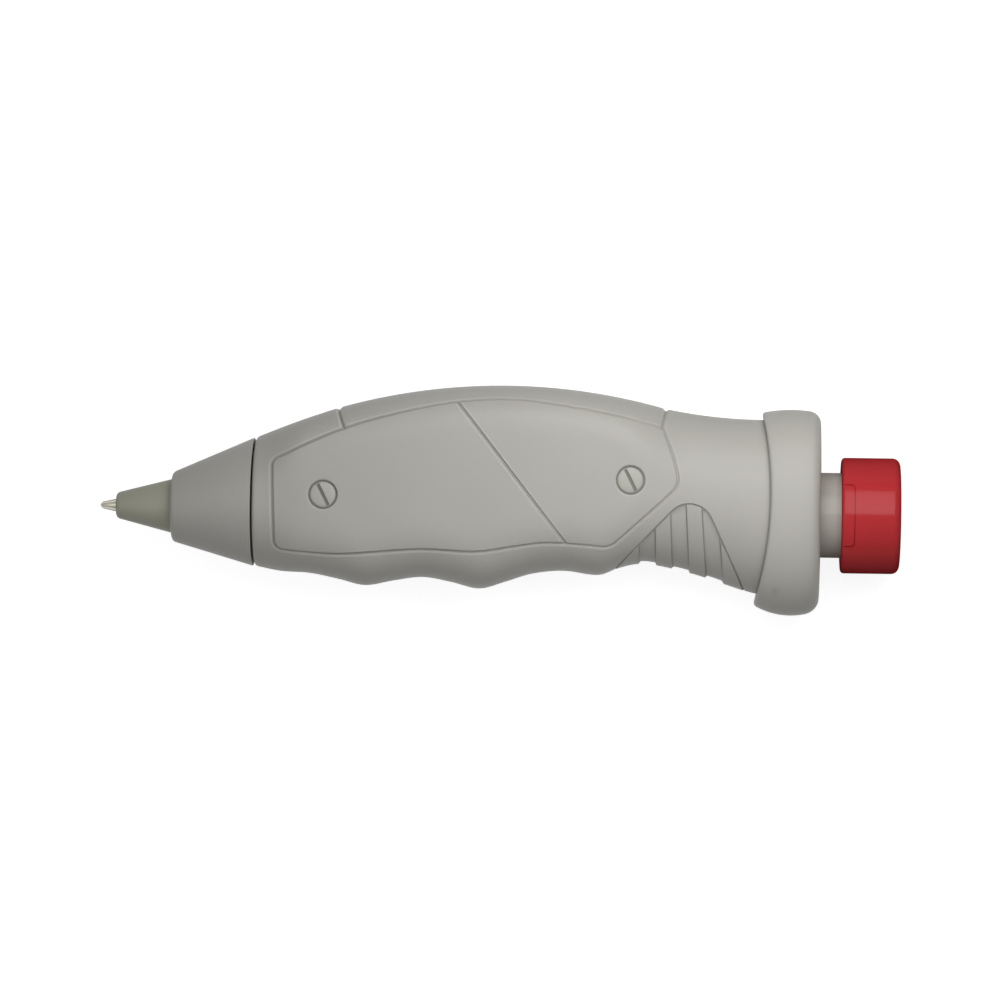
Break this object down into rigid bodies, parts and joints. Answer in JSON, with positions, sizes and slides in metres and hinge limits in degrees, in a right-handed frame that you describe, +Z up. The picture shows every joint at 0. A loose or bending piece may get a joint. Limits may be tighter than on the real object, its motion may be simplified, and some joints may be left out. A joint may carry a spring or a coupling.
{
  "type": "ballpoint pen",
  "caption": "Retractable ballpoint pen shaped like a moulded tool handle, with finger swells, screwed side panels, an end collar and a push button that works the refill.",
  "frame": {"origin": "On the flat right side that the pen lies on, straight under the refill's axis and close to half the pen's length", "axes": "+X along the refill from the writing point to the button, +Y up the grip to its spine, +Z up from the right side to the left side"},
  "size_m": [0.1519, 0.0429, 0.026],
  "materials": {
    "ball_steel": "polished",
    "point_metal": "turned",
    "tube_plastic": "clear",
    "ink": "wet",
    "spring_steel": "drawn wire",
    "tip_plastic": "satin",
    "nose_plastic": "satin",
    "grip_plastic": "satin",
    "screw_plastic": "satin",
    "mechanism_plastic": "moulded",
    "stem_plastic": "gloss",
    "button_plastic": "gloss"
  },
  "bodies": {
    "handle": {"left_shell": "grip_plastic", "right_shell": "grip_plastic", "spine_cover": "grip_plastic", "left_front_panel": "grip_plastic", "left_rear_panel": "grip_plastic", "right_front_panel": "grip_plastic", "right_rear_panel": "grip_plastic", "left_panel_screws": "screw_plastic", "right_panel_screws": "screw_plastic", "ribbed_insert": "grip_plastic", "end_collar": "grip_plastic", "cam_sleeve": "mechanism_plastic", "return_spring": "spring_steel"},
    "nose": {"nose_cone": "nose_plastic", "nose_tip": "tip_plastic"},
    "button": {"push_button": "button_plastic", "button_stem": "stem_plastic", "thrust_plunger": "mechanism_plastic"},
    "refill": {"refill_tip": "point_metal", "ink_tube": "tube_plastic", "ink_column": "ink"},
    "cam": {"rotary_cam": "mechanism_plastic"},
    "ball": {"writing_ball": "ball_steel"}
  },
  "joints": [
    {"name": "button_press", "type": "slide", "parent": "handle", "child": "button", "axis": [-1, 0, 0], "range_m": [-0.0045, 0.0015], "stiffness_N_per_m": 300},
    {"name": "refill_slide", "type": "slide", "parent": "handle", "child": "refill", "axis": [-1, 0, 0], "range_m": [-0.0045, 0.0015], "deforming": ["return_spring"]},
    {"name": "cam_turn", "type": "hinge", "parent": "refill", "child": "cam", "pos_m": [0.034, 0, 0.013], "axis": [1, 0, 0], "continuous": true},
    {"name": "ball_roll", "type": "hinge", "parent": "refill", "child": "ball", "pos_m": [-0.0756, 0, 0.013], "axis": [0, 0, 1], "continuous": true},
    {"name": "nose_pull", "type": "slide", "parent": "handle", "child": "nose", "axis": [-1, 0, 0], "range_m": [0, 0.032]}
  ],
  "couplings": [
    {"joint": "refill_slide", "follows": "button_press", "ratio": 1}
  ]
}
